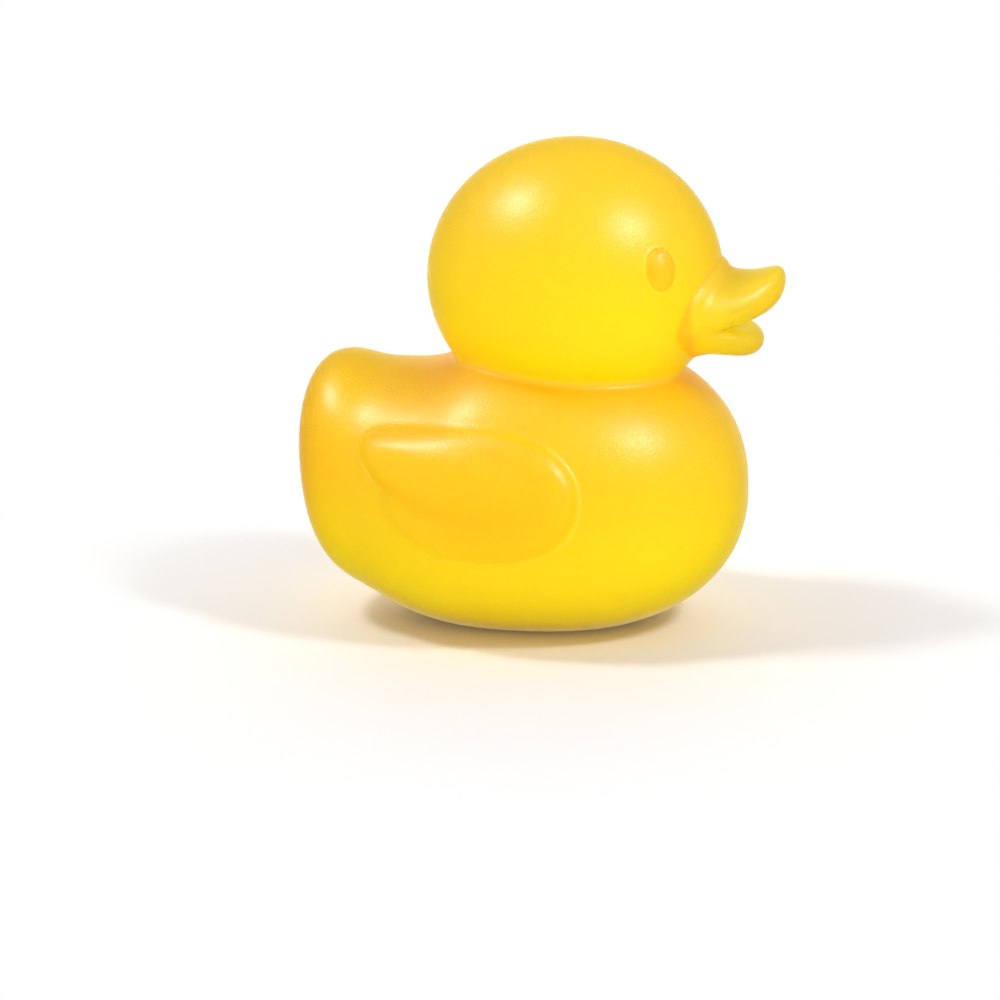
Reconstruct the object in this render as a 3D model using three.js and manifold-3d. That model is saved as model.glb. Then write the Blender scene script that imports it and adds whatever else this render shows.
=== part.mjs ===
import * as THREE from "three";
import { mergeVertices } from "three/addons/utils/BufferGeometryUtils.js";
import Module from "manifold-3d";

// A soft toy duck, moulded in one piece. It faces +X and stands on the plane z = 0.
// Lengths are in millimetres and angles in degrees. A power of 2 is an ellipse, and more is squarer.

// Body
const bodyLength = 49.8;
const bodyWidth = 43.4;
const beamHeight = 15.1;
const backRise = 18.2;
const bellyDepth = 16.4;
const bodyPlanPower = 2.25;
const bodySidePower = 2.29;

// Saddle in the back, between the head and the tail
const saddleDepth = 1.85;
const saddleBehind = 11.6;
const saddleSpread = 4.5;

// Tail
const tailLength = 12;
const tailWidth = 26;
const tailHeight = 25.2;
const tailBehind = 21.5;
const tailRise = 3.2;
const tailTilt = 7.7;
const tailPower = 2.2;
const tailBlend = 5.2;

// Head
const headLength = 34.5;
const headWidth = 34.5;
const headHeight = 32.2;
const headForward = 4.5;
const neckOverlap = 8.8;

// Eyes
const eyeWidth = 3.7;
const eyeHeight = 4.8;
const eyeRaise = 1;
const eyeAngle = 47.6;
const eyeRise = 3.1;

// Raised oval on the head that both lips of the bill grow from
const billRootWidth = 20.6;
const billRootHeight = 11.5;
const billRootDrop = 3.3;
const billRootRaise = 0.65;
const billRootPower = 2;

// Upper lip of the bill
const upperReach = 7.3;
const upperWidth = 20.8;
const upperThickness = 4.5;
const upperEdge = 1.75;
const upperDrop = 2.25;
const upperTipLift = 2.2;
const upperArch = 1.6;
const upperRootArch = 1;
const upperRootRise = 0.85;

// Lower lip of the bill
const lowerReach = 4.95;
const lowerWidth = 19.6;
const lowerThickness = 3.15;
const lowerEdge = 2.15;
const lowerDrop = 7.15;
const lowerDish = 1.8;
const lowerCornerRise = 1.05;

// Both lips
const lipRootAhead = 6;
const lipPlanPower = 2.3;
const lipEdgePower = 2.6;
const lipRootLimit = 1.5;

// Wing: a broad lower feather with a slimmer upper one over it
const lowerFeather = {
  length: 23.8,
  height: 15.6,
  behind: 4.2,
  rise: 3.3,
  tilt: 2.7,
  frontRaise: 1.6,
  rearRaise: 0.5,
};
const upperFeather = {
  length: 21,
  height: 7.8,
  behind: 8.4,
  rise: 5.7,
  tilt: 11.6,
  frontRaise: 1.2,
  rearRaise: 1.9,
};
const featherPlanPower = 2.2;

// What is raised from the skin of the body or head
const padRoot = 1.6;
const padEdgePower = 2.4;

// Facets around and along each form
const bodyFacets = [64, 40];
const headFacets = [52, 34];
const lipFacets = [52, 18];
const padFacets = [36, 12];
const eyeFacets = [20, 12];

const bodyMiddle = new THREE.Vector3(0, 0, beamHeight);
const tailMiddle = new THREE.Vector3(-tailBehind, 0, beamHeight + tailRise);
const tailHalf = new THREE.Vector3(tailLength, tailWidth, tailHeight).divideScalar(2);
const headHalf = new THREE.Vector3(headLength, headWidth, headHeight).divideScalar(2);
const headMiddle = new THREE.Vector3(headForward, 0, beamHeight + backRise - neckOverlap + headHalf.z);
const farAway = bodyLength + tailLength + headHeight;
const upAxis = new THREE.Vector3(0, 0, 1);
const sideAxis = new THREE.Vector3(0, 1, 0);
const slopeStep = 0.02;
const tiny = 1e-9;

const wasm = await Module();
wasm.setup();

// Smaller of two distances, with the valley between them rounded over the given width
function blend(a, b, width) {
  const overlap = Math.max(width - Math.abs(a - b), 0) / width;
  return Math.min(a, b) - (overlap * overlap * width) / 4;
}

// Distance from the skin of a rounded block about the origin, true close to the skin
function blockDistance(point, half, planPower, sidePower) {
  const x = Math.abs(point.x) / half.x;
  const y = Math.abs(point.y) / half.y;
  const z = Math.abs(point.z) / half.z;
  const plan = (x ** planPower + y ** planPower) ** (1 / planPower) + tiny;
  const size = (plan ** sidePower + z ** sidePower) ** (1 / sidePower);
  const planSlope = (plan / size) ** (sidePower - 1);
  const slopeX = (planSlope * (x / plan) ** (planPower - 1)) / half.x;
  const slopeY = (planSlope * (y / plan) ** (planPower - 1)) / half.y;
  const slopeZ = (z / size) ** (sidePower - 1) / half.z;
  return (size - 1) / Math.hypot(slopeX, slopeY, slopeZ);
}

// The hull of the body with its saddle, blended into the tail, whose top leans back
function bodyDistance(point) {
  const local = point.clone().sub(bodyMiddle);
  const saddle = saddleDepth * Math.exp(-(((local.x + saddleBehind) / saddleSpread) ** 2));
  const half = new THREE.Vector3(bodyLength / 2, bodyWidth / 2, bellyDepth);
  if (local.z > 0) half.z = backRise - saddle;
  const hull = blockDistance(local, half, bodyPlanPower, bodySidePower);
  const tailPoint = point.clone().sub(tailMiddle);
  tailPoint.applyAxisAngle(sideAxis, THREE.MathUtils.degToRad(tailTilt));
  const tail = blockDistance(tailPoint, tailHalf, tailPower, tailPower);
  return blend(hull, tail, tailBlend);
}

// Where a line from inside a form leaves it
function skinPoint(start, direction, distance) {
  let inside = 0;
  let outside = farAway;
  const point = new THREE.Vector3();
  while (outside - inside > tiny) {
    const middle = (inside + outside) / 2;
    point.copy(start).addScaledVector(direction, middle);
    if (distance(point) < 0) inside = middle;
    else outside = middle;
  }
  return point;
}

function skinNormal(point, distance) {
  const slope = ["x", "y", "z"].map((axis) => {
    const ahead = point.clone();
    const behind = point.clone();
    ahead[axis] += slopeStep;
    behind[axis] -= slopeStep;
    return distance(ahead) - distance(behind);
  });
  return new THREE.Vector3(...slope).normalize();
}

// A closed ball with its poles on Z, each of its points moved by the given rule
function shapedBall([around, along], rule) {
  const ball = new THREE.SphereGeometry(1, around, along).rotateX(Math.PI / 2);
  ball.deleteAttribute("normal");
  ball.deleteAttribute("uv");
  const geometry = mergeVertices(ball);
  const position = geometry.attributes.position;
  const point = new THREE.Vector3();
  for (let i = 0; i < position.count; i += 1) {
    point.fromBufferAttribute(position, i);
    const moved = rule(point);
    position.setXYZ(i, moved.x, moved.y, moved.z);
  }
  return geometry;
}

// A point of the unit ball moved onto a flat cushion with a rounded rim
function cushionPoint(point, planPower, edgePower) {
  const rim = Math.hypot(point.x, point.y);
  const thickness = Math.sign(point.z) * Math.abs(point.z) ** (2 / edgePower);
  if (rim < tiny) return new THREE.Vector3(0, 0, thickness);
  const x = point.x / rim;
  const y = point.y / rim;
  const outline = (Math.abs(x) ** planPower + Math.abs(y) ** planPower) ** (-1 / planPower);
  const reach = outline * rim ** (2 / edgePower);
  return new THREE.Vector3(x * reach, y * reach, thickness);
}

function mirrored(geometry) {
  const copy = geometry.clone().scale(1, -1, 1);
  copy.index.array.reverse();
  return copy;
}

function solid(geometry) {
  const vertProperties = new Float32Array(geometry.attributes.position.array);
  const triVerts = new Uint32Array(geometry.index.array);
  return new wasm.Manifold(new wasm.Mesh({ numProp: 3, vertProperties, triVerts }));
}

function body() {
  return shapedBall(bodyFacets, (point) => skinPoint(bodyMiddle, point.clone().normalize(), bodyDistance));
}

// What is cut away below the base, so that the duck stands on a flat
function belowBase() {
  const block = new THREE.BoxGeometry(farAway, farAway, bellyDepth).translate(0, 0, -bellyDepth / 2);
  block.deleteAttribute("normal");
  block.deleteAttribute("uv");
  return mergeVertices(block);
}

function head() {
  return shapedBall(headFacets, (point) => point.clone().multiply(headHalf).add(headMiddle));
}

// A raised feather on the right side, laid along the skin of the body
function feather(size) {
  const tilt = THREE.MathUtils.degToRad(-size.tilt);
  const outward = sideAxis.clone().negate();
  return shapedBall(padFacets, (point) => {
    const cushion = cushionPoint(point, featherPlanPower, padEdgePower);
    const along = (cushion.x * size.length) / 2;
    const above = (cushion.y * size.height) / 2;
    const place = new THREE.Vector3();
    place.x = -size.behind + along * Math.cos(tilt) - above * Math.sin(tilt);
    place.z = beamHeight + size.rise + along * Math.sin(tilt) + above * Math.cos(tilt);
    const skin = skinPoint(place, outward, bodyDistance);
    const raise = THREE.MathUtils.mapLinear(cushion.x, -1, 1, size.rearRaise, size.frontRaise);
    const height = cushion.z > 0 ? raise : padRoot;
    return skin.addScaledVector(skinNormal(skin, bodyDistance), cushion.z * height);
  });
}

// A raised oval on the right side of the head
function eye() {
  const angle = THREE.MathUtils.degToRad(eyeAngle);
  const level = Math.sqrt(1 - (eyeRise / headHalf.z) ** 2);
  const onHead = new THREE.Vector3(level * Math.cos(angle), -level * Math.sin(angle), eyeRise / headHalf.z);
  const out = onHead.clone().divide(headHalf).normalize();
  const across = upAxis.clone().cross(out).normalize();
  const up = out.clone().cross(across);
  const turn = new THREE.Matrix4().makeBasis(across, up, out);
  const half = new THREE.Vector3(eyeWidth / 2, eyeHeight / 2, eyeRaise);
  const middle = onHead.multiply(headHalf).add(headMiddle);
  return shapedBall(eyeFacets, (point) => point.clone().multiply(half).applyMatrix4(turn).add(middle));
}

// The oval is laid on the front of the head as the feathers are on the body
function billRoot() {
  return shapedBall(padFacets, (point) => {
    const cushion = cushionPoint(point, billRootPower, padEdgePower);
    const across = (cushion.x * billRootWidth) / 2;
    const above = (cushion.y * billRootHeight) / 2 - billRootDrop;
    const level = Math.sqrt(1 - (across / headHalf.y) ** 2 - (above / headHalf.z) ** 2);
    const skin = new THREE.Vector3(level * headHalf.x, across, above);
    const out = skin.clone().divide(headHalf).divide(headHalf).normalize();
    const height = cushion.z > 0 ? billRootRaise : padRoot;
    return skin.addScaledVector(out, cushion.z * height).add(headMiddle);
  });
}

// How far a point of a lip lies towards the root, from 0 at the tip
function rootward(ahead, reach) {
  const toTip = (ahead - headHalf.x) / reach;
  return THREE.MathUtils.clamp(1 - toTip, 0, lipRootLimit) ** 2;
}

// The upper lip arches down to its thinner sides, curls up at its tip and rises to its root
function upperLip() {
  const halfLength = headHalf.x + upperReach - lipRootAhead;
  return shapedBall(lipFacets, (point) => {
    const cushion = cushionPoint(point, lipPlanPower, lipEdgePower);
    const ahead = lipRootAhead + cushion.x * halfLength;
    const root = rootward(ahead, upperReach);
    const side = cushion.y ** 2;
    const curl = upperTipLift * Math.max((ahead - headHalf.x) / upperReach, 0) ** 2;
    const middle = curl + upperRootRise * root - upperDrop - (upperArch + upperRootArch * root) * side;
    const thickness = THREE.MathUtils.lerp(upperThickness, upperEdge, side) + upperRootRise * root;
    const height = middle + (cushion.z * thickness) / 2;
    return new THREE.Vector3(ahead, (cushion.y * upperWidth) / 2, height).add(headMiddle);
  });
}

// The lower lip is dished like a spoon, and its sides rise to the corners of the mouth
function lowerLip() {
  const halfLength = headHalf.x + lowerReach - lipRootAhead;
  return shapedBall(lipFacets, (point) => {
    const cushion = cushionPoint(point, lipPlanPower, lipEdgePower);
    const ahead = lipRootAhead + cushion.x * halfLength;
    const side = cushion.y ** 2;
    const middle = (lowerDish + lowerCornerRise * rootward(ahead, lowerReach)) * side - lowerDrop;
    const thickness = THREE.MathUtils.lerp(lowerThickness, lowerEdge, side);
    const height = middle + (cushion.z * thickness) / 2;
    return new THREE.Vector3(ahead, (cushion.y * lowerWidth) / 2, height).add(headMiddle);
  });
}

// Joins all forms into one moulding, with the origin under the middle of its box
function moulding() {
  const rightSide = [feather(lowerFeather), feather(upperFeather), eye()];
  const bothSides = rightSide.flatMap((geometry) => [geometry, mirrored(geometry)]);
  const forms = [body(), head(), billRoot(), upperLip(), lowerLip(), ...bothSides];
  const mesh = forms
    .map(solid)
    .reduce((whole, form) => whole.add(form))
    .subtract(solid(belowBase()))
    .getMesh();
  const geometry = new THREE.BufferGeometry();
  geometry.setAttribute("position", new THREE.BufferAttribute(mesh.vertProperties, 3));
  geometry.setIndex(new THREE.BufferAttribute(mesh.triVerts, 1));
  geometry.computeBoundingBox();
  const middle = geometry.boundingBox.getCenter(new THREE.Vector3());
  geometry.translate(-middle.x, -middle.y, -geometry.boundingBox.min.z);
  geometry.computeVertexNormals();
  return geometry;
}

const softRubber = new THREE.MeshStandardMaterial({ color: 0xf9cd1a, roughness: 0.4, metalness: 0 });
const duck = new THREE.Mesh(moulding(), softRubber);
duck.name = "squishy_duck";

const part = new THREE.Group();
part.add(duck);

export default part;
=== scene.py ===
import math
from types import SimpleNamespace

import bpy
from mathutils import Matrix, Vector


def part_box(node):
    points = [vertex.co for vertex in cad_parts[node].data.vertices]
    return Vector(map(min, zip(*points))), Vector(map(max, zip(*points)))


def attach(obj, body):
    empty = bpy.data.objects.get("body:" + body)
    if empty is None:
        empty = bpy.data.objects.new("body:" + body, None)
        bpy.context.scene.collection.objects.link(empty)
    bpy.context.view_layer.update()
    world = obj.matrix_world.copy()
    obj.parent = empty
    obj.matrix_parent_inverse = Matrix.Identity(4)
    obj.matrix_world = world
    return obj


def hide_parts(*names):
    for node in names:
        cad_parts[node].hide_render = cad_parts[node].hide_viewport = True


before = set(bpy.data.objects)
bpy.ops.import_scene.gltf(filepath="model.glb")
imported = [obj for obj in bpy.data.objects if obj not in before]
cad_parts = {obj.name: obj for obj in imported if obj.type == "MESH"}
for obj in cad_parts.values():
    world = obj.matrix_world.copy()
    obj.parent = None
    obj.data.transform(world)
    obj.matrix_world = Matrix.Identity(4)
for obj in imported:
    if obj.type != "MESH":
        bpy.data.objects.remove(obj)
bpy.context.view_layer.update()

mm = 0.001
# added to a size so that nothing is divided by zero
tiny = 1e-6


# A number that varies from place to place, made of Math nodes in one tree
class Field:
    def __init__(self, tree, socket):
        self.tree = tree
        self.socket = socket

    def __add__(self, other):
        return calc("ADD", self, other)

    def __radd__(self, other):
        return calc("ADD", other, self)

    def __sub__(self, other):
        return calc("SUBTRACT", self, other)

    def __rsub__(self, other):
        return calc("SUBTRACT", other, self)

    def __mul__(self, other):
        return calc("MULTIPLY", self, other)

    def __rmul__(self, other):
        return calc("MULTIPLY", other, self)

    def __truediv__(self, other):
        return calc("DIVIDE", self, other)

    def __rtruediv__(self, other):
        return calc("DIVIDE", other, self)

    def __pow__(self, other):
        return calc("POWER", self, other)

    def __neg__(self):
        return calc("MULTIPLY", self, -1.0)

    def __abs__(self):
        return calc("ABSOLUTE", self)


def calc(operation, *values):
    tree = next(value.tree for value in values if isinstance(value, Field))
    node = tree.nodes.new("ShaderNodeMath")
    node.operation = operation
    for slot, value in zip(node.inputs, values):
        if isinstance(value, Field):
            tree.links.new(value.socket, slot)
        else:
            slot.default_value = value
    return Field(tree, node.outputs[0])


def clampField(value, low, high):
    return calc("MINIMUM", calc("MAXIMUM", value, low), high)


def lengthOf(*parts):
    return calc("SQRT", sum((part * part for part in parts[1:]), parts[0] * parts[0]))


# 0 to 1 across a width centred where the difference changes sign
def shareField(difference, width):
    return clampField(0.5 + difference / width, 0.0, 1.0)


# smaller of two distances, with the valley between them rounded over a width
def joinForms(a, b, width):
    overlap = calc("MAXIMUM", width - abs(a - b), 0.0) / width
    return calc("MINIMUM", a, b) - overlap * overlap * width * 0.25


# larger of two distances, with the edge between them rounded over a width
def cutForms(a, b, width):
    return -joinForms(-a, -b, width)


# Every length of the duck in millimetres. Each becomes an input of the form's node tree.
duckSizes = {
    "bodyLength": 49.8, "bodyWidth": 43.4, "beamHeight": 15.1,
    "backRise": 18.2, "bellyDepth": 16.4, "baseRounding": 0.9,
    "saddleDepth": 1.85, "saddleBehind": 11.6, "saddleSpread": 4.5,
    "tailLength": 12.0, "tailWidth": 26.0, "tailHeight": 25.2,
    "tailBehind": 21.5, "tailRise": 3.2, "tailBlend": 5.2,
    "headLength": 34.5, "headWidth": 34.5, "headHeight": 32.2,
    "headForward": 4.5, "neckOverlap": 8.8, "neckCrease": 0.7,
    "eyeWidth": 3.7, "eyeHeight": 4.8, "eyeRaise": 1.0, "eyeRise": 3.1, "eyeCrease": 0.2,
    "upperReach": 7.3, "upperWidth": 20.8, "upperThickness": 4.5, "upperEdge": 1.75, "upperDrop": 2.25,
    "upperTipLift": 2.2, "upperArch": 1.6, "upperRootArch": 1.0, "upperRootRise": 0.85,
    "upperRounding": 2.3,
    "lowerReach": 4.95, "lowerWidth": 19.6, "lowerThickness": 3.15, "lowerEdge": 2.15,
    "lowerDrop": 7.15, "lowerDish": 1.8, "lowerCornerRise": 1.05, "lowerRounding": 2.15,
    "lipRootAhead": 6.0, "mouthCrease": 0.5,
    "billRootWidth": 20.6, "billRootHeight": 11.5, "billRootDrop": 3.3, "billRootRaise": 0.65,
    "billRootRounding": 1.2, "billRootBlend": 0.9, "billCrease": 0.25,
    "lowerFeatherLength": 23.8, "lowerFeatherHeight": 15.6,
    "lowerFeatherBehind": 4.2, "lowerFeatherRise": 3.3,
    "lowerFeatherFront": 1.6, "lowerFeatherRear": 0.5, "lowerFeatherRounding": 2.4,
    "upperFeatherLength": 21.0, "upperFeatherHeight": 7.8,
    "upperFeatherBehind": 8.4, "upperFeatherRise": 5.7,
    "upperFeatherFront": 1.2, "upperFeatherRear": 1.9, "upperFeatherRounding": 2.8,
    "featherBlend": 1.6, "wingCrease": 0.35,
}

# Powers of the rounded outlines (2 is an oval), angles in degrees, and shares for the lips
duckShape = {
    "oval": 2.0, "bodyPlan": 2.25, "bodySide": 2.29, "tailPlan": 2.2, "tailSide": 2.2, "tailTilt": 7.7,
    "eyeAngle": 47.6, "lipPlan": 2.3, "lipRootLimit": 1.5, "upperSlant": 0.95, "lowerSlant": 0.97,
    "feather": 2.2, "lowerFeatherTilt": 2.7, "upperFeatherTilt": 11.6,
}

duckMesh = {
    "voxel": 0.37, "margin": 2.5, "settleSteps": 3, "slopeStep": 0.04, "curveReach": 0.7,
    "neckFade": 0.6, "faceFade": 0.5, "wingLimit": 3.0,
}
skinMarks = ["headShare", "faceShare", "wingRaise"]


# distance to a rounded block about the origin, true close to its skin
def blockDistance(place, half, planPower, sidePower):
    x, y, z = [abs(value) / size for value, size in zip(place, half)]
    plan = (x ** planPower + y ** planPower) ** (1 / planPower) + tiny
    size = (plan ** sidePower + z ** sidePower) ** (1 / sidePower)
    planSlope = (plan / size) ** (sidePower - 1)
    slopeX = planSlope * (x / plan) ** (planPower - 1) / half[0]
    slopeY = planSlope * (y / plan) ** (planPower - 1) / half[1]
    slopeZ = (z / size) ** (sidePower - 1) / half[2]
    return (size - 1) / lengthOf(slopeX, slopeY, slopeZ)


# distance to a rounded outline in a plane
def outlineDistance(across, along, halfAcross, halfAlong, power):
    u = abs(across) / halfAcross
    v = abs(along) / halfAlong
    size = (u ** power + v ** power) ** (1 / power) + tiny
    slopeU = (u / size) ** (power - 1) / halfAcross
    slopeV = (v / size) ** (power - 1) / halfAlong
    return (size - 1) / lengthOf(slopeU, slopeV)


def bodyForm(place, s):
    x, y, z = place
    above = z - s.beamHeight
    offSaddle = (x + s.saddleBehind) / s.saddleSpread
    saddle = s.saddleDepth * calc("EXPONENT", -(offSaddle * offSaddle))
    upperHalf = calc("GREATER_THAN", above, 0.0)
    halfHeight = s.bellyDepth + upperHalf * (s.backRise - saddle - s.bellyDepth)
    half = (s.bodyLength / 2, s.bodyWidth / 2, halfHeight)
    hull = blockDistance((x, y, above), half, duckShape["bodyPlan"], duckShape["bodySide"])
    tilt = math.radians(duckShape["tailTilt"])
    tailX = x + s.tailBehind
    tailZ = above - s.tailRise
    along = tailX * math.cos(tilt) + tailZ * math.sin(tilt)
    upright = tailZ * math.cos(tilt) - tailX * math.sin(tilt)
    tailHalf = (s.tailLength / 2, s.tailWidth / 2, s.tailHeight / 2)
    tail = blockDistance((along, y, upright), tailHalf, duckShape["tailPlan"], duckShape["tailSide"])
    return joinForms(hull, tail, s.tailBlend)


# one feather: a rounded outline on the flank, raised from the skin of the body
def featherForm(place, body, s, name):
    x, y, z = place
    parts = ("Length", "Height", "Behind", "Rise", "Front", "Rear", "Rounding")
    size = {part: getattr(s, name + part) for part in parts}
    tilt = math.radians(duckShape[name + "Tilt"])
    ahead = x + size["Behind"]
    above = z - s.beamHeight - size["Rise"]
    along = ahead * math.cos(tilt) - above * math.sin(tilt)
    across = ahead * math.sin(tilt) + above * math.cos(tilt)
    edge = outlineDistance(along, across, size["Length"] / 2, size["Height"] / 2, duckShape["feather"])
    towardRear = clampField(0.5 - along / size["Length"], 0.0, 1.0)
    raised = size["Front"] + towardRear * (size["Rear"] - size["Front"])
    return cutForms(body - raised, edge, size["Rounding"])


# an arched upper lip that curls up at its tip and a lower one dished like a spoon, on a raised oval root
def billForm(place, ball, s):
    x, y, z = place
    ahead = x - s.lipRootAhead
    beyond = x - s.headLength / 2
    toTip = beyond / s.upperReach
    curl = s.upperTipLift * calc("MAXIMUM", toTip, 0.0) ** 2.0
    rootward = clampField(1.0 - toTip, 0.0, duckShape["lipRootLimit"]) ** 2.0
    rootRise = s.upperRootRise * rootward
    side = (y / (s.upperWidth / 2)) ** 2.0
    middle = curl + rootRise - s.upperDrop - (s.upperArch + s.upperRootArch * rootward) * side
    thick = s.upperThickness + rootRise + (s.upperEdge - s.upperThickness) * calc("MINIMUM", side, 1.0)
    slab = abs(z - middle) * duckShape["upperSlant"] - thick / 2
    plan = outlineDistance(
        ahead, y, s.headLength / 2 + s.upperReach - s.lipRootAhead, s.upperWidth / 2, duckShape["lipPlan"])
    upper = cutForms(slab, plan, s.upperRounding)
    toTip = beyond / s.lowerReach
    corner = s.lowerCornerRise * clampField(1.0 - toTip, 0.0, duckShape["lipRootLimit"]) ** 2.0
    side = (y / (s.lowerWidth / 2)) ** 2.0
    middle = (s.lowerDish + corner) * side - s.lowerDrop
    thick = s.lowerThickness + (s.lowerEdge - s.lowerThickness) * calc("MINIMUM", side, 1.0)
    slab = abs(z - middle) * duckShape["lowerSlant"] - thick / 2
    plan = outlineDistance(
        ahead, y, s.headLength / 2 + s.lowerReach - s.lipRootAhead, s.lowerWidth / 2, duckShape["lipPlan"])
    lower = cutForms(slab, plan, s.lowerRounding)
    oval = outlineDistance(
        y, z + s.billRootDrop, s.billRootWidth / 2, s.billRootHeight / 2, duckShape["oval"])
    root = cutForms(ball - s.billRootRaise, calc("MAXIMUM", oval, -x), s.billRootRounding)
    return joinForms(joinForms(upper, lower, s.mouthCrease), root, s.billRootBlend)


# a raised oval on each side of the head
def eyeForm(place, s):
    x, y, z = place
    angle = math.radians(duckShape["eyeAngle"])
    halfHeight = s.headHeight / 2
    level = calc("SQRT", 1 - (s.eyeRise / halfHeight) ** 2.0)
    outX = level * math.cos(angle)
    outY = level * -math.sin(angle)
    dx = x - outX * (s.headLength / 2)
    dy = -abs(y) - outY * (s.headWidth / 2)
    dz = z - s.eyeRise
    normalX = outX / (s.headLength / 2)
    normalY = outY / (s.headWidth / 2)
    normalZ = s.eyeRise / (halfHeight * halfHeight)
    size = lengthOf(normalX, normalY, normalZ)
    normal = (normalX / size, normalY / size, normalZ / size)
    across = (math.sin(angle), math.cos(angle))
    out = dx * normal[0] + dy * normal[1] + dz * normal[2]
    side = dx * across[0] + dy * across[1]
    levelUp = lengthOf(dx, dy, dz) ** 2.0 - out * out - side * side
    up = calc("SQRT", calc("MAXIMUM", levelUp, 0.0))
    half = (s.eyeWidth / 2, s.eyeHeight / 2, s.eyeRaise)
    return blockDistance((side, up, out), half, duckShape["oval"], duckShape["oval"])


def duckForm(place, s):
    x, y, z = place
    plain = bodyForm(place, s)
    lower = featherForm(place, plain, s, "lowerFeather")
    upper = featherForm(place, plain, s, "upperFeather")
    body = joinForms(plain, joinForms(lower, upper, s.featherBlend), s.wingCrease)
    body = cutForms(body, -z, s.baseRounding)
    headZ = s.beamHeight + s.backRise - s.neckOverlap + s.headHeight / 2
    onHead = (x - s.headForward, y, z - headZ)
    half = (s.headLength / 2, s.headWidth / 2, s.headHeight / 2)
    ball = blockDistance(onHead, half, duckShape["oval"], duckShape["oval"])
    bill = billForm(onHead, ball, s)
    eye = eyeForm(onHead, s)
    head = joinForms(joinForms(ball, bill, s.billCrease), eye, s.eyeCrease)
    headShare = shareField(body - head, duckMesh["neckFade"])
    return {"Distance": joinForms(body, head, s.neckCrease),
            "headShare": headShare,
            "faceShare": headShare * shareField(ball - calc("MINIMUM", bill, eye), duckMesh["faceFade"]),
            "wingRaise": clampField(plain - body, 0.0, duckMesh["wingLimit"])}


def newGroup(name, inputs, outputs):
    tree = bpy.data.node_groups.new(name, "GeometryNodeTree")
    for socketName, kind in inputs:
        tree.interface.new_socket(socketName, in_out="INPUT", socket_type=kind)
    for socketName, kind in outputs:
        tree.interface.new_socket(socketName, in_out="OUTPUT", socket_type=kind)
    return tree, tree.nodes.new("NodeGroupInput"), tree.nodes.new("NodeGroupOutput")


sizeInputs = [(name, "NodeSocketFloat") for name in duckSizes]


def distanceGroup():
    outputs = [(name, "NodeSocketFloat") for name in ["Distance"] + skinMarks]
    tree, start, end = newGroup("duckDistance", [("Position", "NodeSocketVector")] + sizeInputs, outputs)
    apart = tree.nodes.new("ShaderNodeSeparateXYZ")
    tree.links.new(start.outputs["Position"], apart.inputs[0])
    place = [Field(tree, socket) for socket in apart.outputs]
    sizes = SimpleNamespace(**{name: Field(tree, start.outputs[name]) for name in duckSizes})
    for name, distance in duckForm(place, sizes).items():
        tree.links.new(distance.socket, end.inputs[name])
    print("duck form:", len(tree.nodes), "nodes")
    return tree


# a group placed in a tree, with its first input linked and every size handed on
def useGroup(tree, start, group, first):
    node = tree.nodes.new("GeometryNodeGroup")
    node.node_tree = group
    tree.links.new(first, node.inputs[0])
    for name in duckSizes:
        tree.links.new(start.outputs[name], node.inputs[name])
    return node


def distanceAt(tree, start, distance, position, shift=(0, 0, 0)):
    step = tree.nodes.new("ShaderNodeVectorMath")
    step.operation = "ADD"
    step.inputs[1].default_value = shift
    tree.links.new(position, step.inputs[0])
    return Field(tree, useGroup(tree, start, distance, step.outputs[0]).outputs["Distance"])


# moves each point of the mesh onto the form along the form's own slope
def settleGroup(distance):
    geometry = [("Geometry", "NodeSocketGeometry")]
    tree, start, end = newGroup("settleOnForm", geometry + sizeInputs, geometry)
    position = tree.nodes.new("GeometryNodeInputPosition").outputs[0]
    here = distanceAt(tree, start, distance, position)
    slopes = []
    for axis in Matrix.Identity(3):
        ahead = distanceAt(tree, start, distance, position, axis * duckMesh["slopeStep"])
        slopes.append((ahead - here) / duckMesh["slopeStep"])
    squared = slopes[0] * slopes[0] + slopes[1] * slopes[1] + slopes[2] * slopes[2]
    offset = tree.nodes.new("ShaderNodeCombineXYZ")
    for slot, slope in zip(offset.inputs, slopes):
        tree.links.new((-(here * slope) / squared).socket, slot)
    move = tree.nodes.new("GeometryNodeSetPosition")
    tree.links.new(start.outputs["Geometry"], move.inputs["Geometry"])
    tree.links.new(offset.outputs[0], move.inputs["Offset"])
    tree.links.new(move.outputs[0], end.inputs["Geometry"])
    return tree


# how sharply the skin bends out (+) or in (-), in 1/mm
def curveField(tree, start, distance, position):
    reach = duckMesh["curveReach"]
    around = distanceAt(tree, start, distance, position) * -6.0
    for axis in Matrix.Identity(3):
        for side in (-reach, reach):
            around = around + distanceAt(tree, start, distance, position, axis * side)
    return around / (reach * reach)


def storeField(tree, geometry, name, value):
    store = tree.nodes.new("GeometryNodeStoreNamedAttribute")
    store.data_type = "FLOAT"
    store.domain = "POINT"
    store.inputs["Name"].default_value = name
    tree.links.new(geometry, store.inputs["Geometry"])
    tree.links.new(value.socket, store.inputs["Value"])
    return store.outputs["Geometry"]


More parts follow.
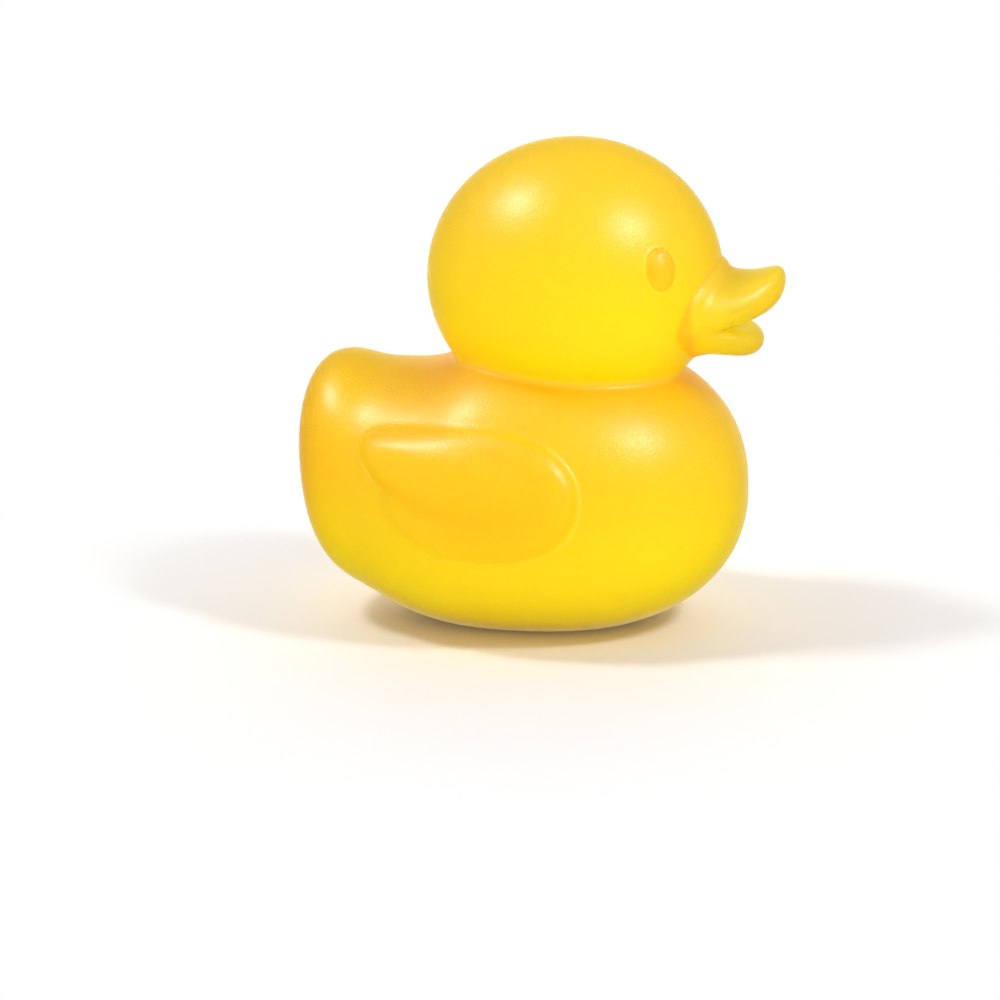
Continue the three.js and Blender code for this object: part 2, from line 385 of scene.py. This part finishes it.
def duckGroup(low, high, shift, material):
    distance = distanceGroup()
    settle = settleGroup(distance)
    tree, start, end = newGroup("squishyDuck", sizeInputs, [("Geometry", "NodeSocketGeometry")])
    position = tree.nodes.new("GeometryNodeInputPosition").outputs[0]
    skinLevel = duckMesh["margin"] * 2
    solid = skinLevel - distanceAt(tree, start, distance, position)
    volume = tree.nodes.new("GeometryNodeVolumeCube")
    tree.links.new(solid.socket, volume.inputs["Density"])
    volume.inputs["Min"].default_value = low
    volume.inputs["Max"].default_value = high
    for axis, bottom, top in zip("XYZ", low, high):
        volume.inputs["Resolution " + axis].default_value = round((top - bottom) / duckMesh["voxel"])
    skin = tree.nodes.new("GeometryNodeVolumeToMesh")
    skin.inputs["Threshold"].default_value = skinLevel
    tree.links.new(volume.outputs[0], skin.inputs["Volume"])
    geometry = skin.outputs[0]
    for step in range(duckMesh["settleSteps"]):
        geometry = useGroup(tree, start, settle, geometry).outputs["Geometry"]
    marks = useGroup(tree, start, distance, position)
    for name in skinMarks:
        geometry = storeField(tree, geometry, name, Field(tree, marks.outputs[name]))
    geometry = storeField(tree, geometry, "skinCurve", curveField(tree, start, distance, position))
    toFrame = tree.nodes.new("GeometryNodeTransform")
    toFrame.inputs["Scale"].default_value = (mm, mm, mm)
    toFrame.inputs["Translation"].default_value = shift
    smooth = tree.nodes.new("GeometryNodeSetShadeSmooth")
    paint = tree.nodes.new("GeometryNodeSetMaterial")
    paint.inputs["Material"].default_value = material
    whole = tree.nodes.new("GeometryNodeRealizeInstances")
    for node in (toFrame, smooth, whole, paint):
        tree.links.new(geometry, node.inputs["Geometry"])
        geometry = node.outputs[0]
    tree.links.new(geometry, end.inputs["Geometry"])
    return tree


def makeDuck(material):
    low, high = [Vector(corner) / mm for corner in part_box("squishy_duck")]
    billTip = duckSizes["headForward"] + duckSizes["headLength"] / 2 + duckSizes["upperReach"]
    shift = Vector((high.x - billTip, 0, 0))
    margin = Vector([duckMesh["margin"]] * 3)
    tree = duckGroup(low - shift - margin, high - shift + margin, shift * mm, material)
    duck = bpy.data.objects.new("duckSkin", bpy.data.meshes.new("duckSkin"))
    bpy.context.collection.objects.link(duck)
    modifier = duck.modifiers.new("squishyDuck", "NODES")
    modifier.node_group = tree
    for socket in tree.interface.items_tree:
        if socket.in_out == "INPUT":
            modifier[socket.identifier] = duckSizes[socket.name]
    evaluated = duck.evaluated_get(bpy.context.evaluated_depsgraph_get())
    duck.data = bpy.data.meshes.new_from_object(evaluated)
    duck.modifiers.clear()
    print("duck skin:", len(duck.data.polygons), "faces")
    return duck


# Colours, gloss, depth of scattering and grain. A range says where one colour runs into the next,
# by place in the frame, by raise of the wing in mm or by bend of the skin.
rubber = {
    # painted shade on top and painted light low down, in the head and in the body
    "headTopPaintedShade": (0.99, 0.53, 0.004, 1.0), "headLowPaintedLight": (1.0, 0.64, 0.002, 1.0), "headRange": (52 * mm, 32 * mm),
    "bodyTopPaintedShade": (0.99, 0.54, 0.003, 1.0), "bodyLowPaintedLight": (1.0, 0.64, 0.002, 1.0), "bodyRange": (22 * mm, 4 * mm),
    # painted shade: the tail is a darker amber, where less lamp light falls
    "tail": (0.95, 0.43, 0.001, 1.0), "tailShadeRange": (-17 * mm, -27 * mm),
    # painted shade: the raised wing is a deeper amber
    "wing": (1.0, 0.45, 0.001, 1.0), "wingShadeRange": (0.2, 1.2), "wingShadeShare": 0.6,
    "face": (1.0, 0.57, 0.01, 1.0), "faceShare": 0.9,
    "billTip": (0.88, 0.37, 0.01, 1.0), "billTipRange": (21 * mm, 28 * mm),
    "eye": (0.89, 0.44, 0.004, 1.0), "eyeRange": (19 * mm, 18 * mm),
    # painted light: the creases of the skin are pale, and beside the face painted shade makes them a darker
    # amber
    "crease": (1.0, 0.70, 0.08, 1.0), "creaseRange": (-0.3, -1.2), "creaseShare": 0.4,
    "faceCreaseShade": (0.95, 0.40, 0.002, 1.0), "nearFaceRange": (0.0, 0.4),
    "roughness": 0.37, "ior": 1.62, "haze": 0.25, "hazeRoughness": 0.5,
    "scatterReach": 0.035, "scatterColour": (1.0, 1.0, 0.25),
    "grainSize": 0.55 * mm, "grainBend": 1.6, "bendSize": 2.5, "bendDetail": 3.0,
    "wrinkleRange": (0.0, 0.18), "creaseHeight": 0.008 * mm,
}


def addNode(tree, kind, **settings):
    node = tree.nodes.new(kind)
    for name, value in settings.items():
        setattr(node, name, value)
    return node


def mapRange(tree, value, fromLow, fromHigh, toLow=0.0, toHigh=1.0):
    node = addNode(tree, "ShaderNodeMapRange", interpolation_type="SMOOTHSTEP")
    tree.links.new(value, node.inputs["Value"])
    for slot, number in zip(("From Min", "From Max", "To Min", "To Max"), (fromLow, fromHigh, toLow, toHigh)):
        node.inputs[slot].default_value = number
    return node.outputs["Result"]


def mixColour(tree, share, first, second):
    node = addNode(tree, "ShaderNodeMix", data_type="RGBA")
    tree.links.new(share, node.inputs["Factor"])
    for slot, colour in zip((node.inputs[6], node.inputs[7]), (first, second)):
        if isinstance(colour, tuple):
            slot.default_value = colour
        else:
            tree.links.new(colour, slot)
    return node.outputs[2]


def skinMark(tree, name):
    mark = tree.nodes.new("ShaderNodeAttribute")
    mark.attribute_name = name
    return mark.outputs["Fac"]


# painted light and shade: the gel is lighter low in the head and low in the belly, where light gathers and
# the gel is brightest, and darker on top, on the tail and on the raised wing
def gelColourWithPaintedLightAndShade(tree, place):
    apart = tree.nodes.new("ShaderNodeSeparateXYZ")
    tree.links.new(place, apart.inputs[0])
    height = apart.outputs["Z"]
    ahead = apart.outputs["X"]
    inBelly = mapRange(tree, height, *rubber["bodyRange"])
    inHead = mapRange(tree, height, *rubber["headRange"])
    # painted shade on the tail
    inTail = mapRange(tree, ahead, *rubber["tailShadeRange"])
    upper = mixColour(tree, inTail, rubber["bodyTopPaintedShade"], rubber["tail"])
    body = mixColour(tree, inBelly, upper, rubber["bodyLowPaintedLight"])
    above = mixColour(tree, inHead, rubber["headTopPaintedShade"], rubber["headLowPaintedLight"])
    # painted shade on the raised wing
    onWing = mapRange(tree, skinMark(tree, "wingRaise"), *rubber["wingShadeRange"], 0.0, rubber["wingShadeShare"])
    body = mixColour(tree, onWing, body, rubber["wing"])
    colour = mixColour(tree, skinMark(tree, "headShare"), body, above)
    face = mapRange(tree, skinMark(tree, "faceShare"), 0.0, 1.0, 0.0, rubber["faceShare"])
    inTip = mapRange(tree, ahead, *rubber["billTipRange"])
    beforeBill = mapRange(tree, ahead, *rubber["eyeRange"])
    faceColour = mixColour(tree, inTip, rubber["face"], rubber["billTip"])
    faceColour = mixColour(tree, beforeBill, faceColour, rubber["eye"])
    return mixColour(tree, face, colour, faceColour)


# fine wrinkled grain of the moulded skin
def skinGrain(tree, place):
    noise = addNode(tree, "ShaderNodeTexNoise", noise_dimensions="3D")
    noise.inputs["Scale"].default_value = 1 / (rubber["bendSize"] * rubber["grainSize"])
    noise.inputs["Detail"].default_value = rubber["bendDetail"]
    tree.links.new(place, noise.inputs["Vector"])
    bend = addNode(tree, "ShaderNodeVectorMath", operation="MULTIPLY_ADD")
    bend.inputs[1].default_value = [rubber["grainSize"] * rubber["grainBend"]] * 3
    tree.links.new(noise.outputs["Color"], bend.inputs[0])
    tree.links.new(place, bend.inputs[2])
    cells = addNode(tree, "ShaderNodeTexVoronoi", feature="DISTANCE_TO_EDGE")
    cells.inputs["Scale"].default_value = 1 / rubber["grainSize"]
    tree.links.new(bend.outputs[0], cells.inputs["Vector"])
    wrinkle = mapRange(tree, cells.outputs["Distance"], *rubber["wrinkleRange"])
    bump = addNode(tree, "ShaderNodeBump")
    bump.inputs["Strength"].default_value = 1.0
    bump.inputs["Distance"].default_value = rubber["creaseHeight"]
    tree.links.new(wrinkle, bump.inputs["Height"])
    return bump.outputs["Normal"]


def softRubber():
    material = bpy.data.materials.new("softRubber")
    material.use_nodes = True
    tree = material.node_tree
    shader = tree.nodes["Principled BSDF"]
    place = tree.nodes.new("ShaderNodeTexCoord").outputs["Object"]
    # painted light in the creases of the skin, with painted shade in the creases beside the face
    nearFace = mapRange(tree, skinMark(tree, "faceShare"), *rubber["nearFaceRange"])
    creaseLightAndShade = mixColour(tree, nearFace, rubber["crease"], rubber["faceCreaseShade"])
    bend = skinMark(tree, "skinCurve")
    crease = mapRange(tree, bend, *rubber["creaseRange"], 0.0, rubber["creaseShare"])
    colour = mixColour(tree, crease, gelColourWithPaintedLightAndShade(tree, place), creaseLightAndShade)
    tree.links.new(colour, shader.inputs["Base Color"])
    tree.links.new(skinGrain(tree, place), shader.inputs["Normal"])
    shader.inputs["Roughness"].default_value = rubber["roughness"]
    shader.inputs["IOR"].default_value = rubber["ior"]
    shader.inputs["Coat Weight"].default_value = rubber["haze"]
    shader.inputs["Coat Roughness"].default_value = rubber["hazeRoughness"]
    shader.inputs["Subsurface Weight"].default_value = 1.0
    shader.inputs["Subsurface Radius"].default_value = rubber["scatterColour"]
    shader.inputs["Subsurface Scale"].default_value = rubber["scatterReach"]
    return material


duck = makeDuck(softRubber())
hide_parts("squishy_duck")
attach(duck, "root")

studio = {
    "floorSize": 6.0, "floorLevel": -0.03 * mm, "floorColour": (0.94, 0.94, 0.94, 1.0),
    "floorRoughness": 0.9, "clearFrom": 0.032, "clearTo": 0.085,
    # strength of the room from the camera's side to behind the duck, as it lights and as it is mirrored
    "roomRange": (-0.4, 0.5), "room": (0.28, 0.72), "mirroredRoom": (0.24, 0.12),
    "backdropRange": (0.86, 0.97),
    # where each lamp stands (camera's right, towards the camera, up), distance and size in metres, watts
    "lamps": [
        {"from": (-0.547, 0.155, 0.82), "distance": 1.0, "size": (0.18, 0.18), "power": 3.5, "glint": True},
        {"from": (0.604, 0.49, 0.628), "distance": 1.0, "size": (0.16, 0.16), "power": 3.4, "glint": True},
        {"from": (0.1, 0.95, -0.15), "distance": 0.8, "size": (0.6, 0.1), "power": 3.2, "glint": False},
        {"from": (0.0, -0.85, 0.4), "distance": 0.9, "size": (0.8, 0.5), "power": 4.2, "glint": False},
    ],
}

# the camera's place, and the pixel of the 1000 pixel frame where its target lies
camera = {"azimuth": 8.0, "elevation": 12.0, "distance": 0.47, "lens": 144.0,
          "target": (-0.23 * mm, 0, 26.0 * mm), "pixel": (540.0, 396.0), "framePixels": 1000.0}


def cameraAxes():
    azimuth, elevation = math.radians(camera["azimuth"]), math.radians(camera["elevation"])
    level = math.cos(elevation)
    back = Vector((math.sin(azimuth) * level, -math.cos(azimuth) * level, math.sin(elevation)))
    right = Vector((math.cos(azimuth), math.sin(azimuth), 0))
    return right, back, back.cross(right)


def makeCamera():
    right, back, up = cameraAxes()
    data = bpy.data.cameras.new("camera")
    data.lens = camera["lens"]
    data.shift_x = 0.5 - camera["pixel"][0] / camera["framePixels"]
    data.shift_y = camera["pixel"][1] / camera["framePixels"] - 0.5
    view = bpy.data.objects.new("camera", data)
    turn = Matrix((right, up, back)).transposed()
    view.matrix_world = Matrix.LocRotScale(Vector(camera["target"]) + back * camera["distance"], turn, None)
    bpy.context.collection.objects.link(view)
    bpy.context.scene.camera = view


def joinNumbers(tree, operation, first, second):
    node = addNode(tree, "ShaderNodeMath", operation=operation)
    tree.links.new(first, node.inputs[0])
    tree.links.new(second, node.inputs[1])
    return node.outputs[0]


# 1 for what the camera sees, and a share of what shows in a reflection or through the duck
def seenDirectly(tree, share):
    path = tree.nodes.new("ShaderNodeLightPath").outputs
    indirect = joinNumbers(tree, "MAXIMUM", path["Is Glossy Ray"], path["Is Transmission Ray"])
    return joinNumbers(tree, "MAXIMUM", path["Is Camera Ray"], joinNumbers(tree, "MULTIPLY", indirect, share))


# how far a place or a direction lies away from the camera
def awayFromCamera(tree, place):
    node = addNode(tree, "ShaderNodeVectorMath", operation="DOT_PRODUCT")
    node.inputs[1].default_value = -cameraAxes()[1]
    tree.links.new(place, node.inputs[0])
    return node.outputs["Value"]


def mixShaders(tree, share, first, second, output):
    mix = tree.nodes.new("ShaderNodeMixShader")
    tree.links.new(share, mix.inputs["Fac"])
    tree.links.new(first, mix.inputs[1])
    tree.links.new(second, mix.inputs[2])
    tree.links.new(mix.outputs[0], tree.nodes[output].inputs["Surface"])


# white paper that keeps the shadow near the duck and runs out to plain white for the camera
def whitePaper():
    paper = bpy.data.materials.new("whitePaper")
    paper.use_nodes = True
    tree = paper.node_tree
    shader = tree.nodes["Principled BSDF"]
    shader.inputs["Base Color"].default_value = studio["floorColour"]
    shader.inputs["Roughness"].default_value = studio["floorRoughness"]
    place = tree.nodes.new("ShaderNodeTexCoord").outputs["Object"]
    reach = addNode(tree, "ShaderNodeVectorMath", operation="LENGTH")
    tree.links.new(place, reach.inputs[0])
    fade = mapRange(tree, reach.outputs["Value"], studio["clearFrom"], studio["clearTo"])
    behind = mapRange(tree, awayFromCamera(tree, place), 0.0, studio["clearTo"])
    seen = joinNumbers(tree, "MULTIPLY", fade, seenDirectly(tree, behind))
    glow = tree.nodes.new("ShaderNodeEmission")
    mixShaders(tree, seen, shader.outputs["BSDF"], glow.outputs[0], "Material Output")
    return paper


def makeStudio():
    right, back, up = cameraAxes()
    bpy.ops.mesh.primitive_plane_add(size=studio["floorSize"])
    floor = bpy.context.object
    floor.name = "floor"
    floor.location.z = studio["floorLevel"]
    floor.data.materials.append(whitePaper())
    # the satin skin mirrors the room and not the paper
    floor.visible_glossy = False
    for number, values in enumerate(studio["lamps"]):
        data = bpy.data.lights.new("lamp%d" % number, "AREA")
        data.shape = "RECTANGLE"
        data.size, data.size_y = values["size"]
        data.energy = values["power"]
        lamp = bpy.data.objects.new(data.name, data)
        toRight, toCamera, toUp = values["from"]
        towards = (right * toRight + back * toCamera + up * toUp).normalized()
        lamp.location = Vector(camera["target"]) + towards * values["distance"]
        lamp.rotation_mode = "QUATERNION"
        lamp.rotation_quaternion = (-towards).to_track_quat("-Z", "Y")
        lamp.visible_glossy = values["glint"]
        bpy.context.collection.objects.link(lamp)
    makeWorld()


# a white backdrop behind the duck, in a room that is dimmer on the camera's side
def makeWorld():
    world = bpy.data.worlds.new("whiteRoom")
    bpy.context.scene.world = world
    world.use_nodes = True
    tree = world.node_tree
    room = tree.nodes["Background"]
    room.inputs["Color"].default_value = (1, 1, 1, 1)
    backdrop = tree.nodes.new("ShaderNodeBackground")
    backdrop.inputs["Color"].default_value = (1, 1, 1, 1)
    ahead = awayFromCamera(tree, tree.nodes.new("ShaderNodeTexCoord").outputs["Generated"])
    level = addNode(tree, "ShaderNodeMix", data_type="FLOAT")
    tree.links.new(tree.nodes.new("ShaderNodeLightPath").outputs["Is Glossy Ray"], level.inputs[0])
    tree.links.new(mapRange(tree, ahead, *studio["roomRange"], *studio["room"]), level.inputs[2])
    tree.links.new(mapRange(tree, ahead, *studio["roomRange"], *studio["mirroredRoom"]), level.inputs[3])
    tree.links.new(level.outputs[0], room.inputs["Strength"])
    seen = seenDirectly(tree, mapRange(tree, ahead, *studio["backdropRange"]))
    mixShaders(tree, seen, room.outputs[0], backdrop.outputs[0], "World Output")


makeStudio()
makeCamera()
bpy.context.scene.view_settings.view_transform = "Standard"

print("studio and camera ready")
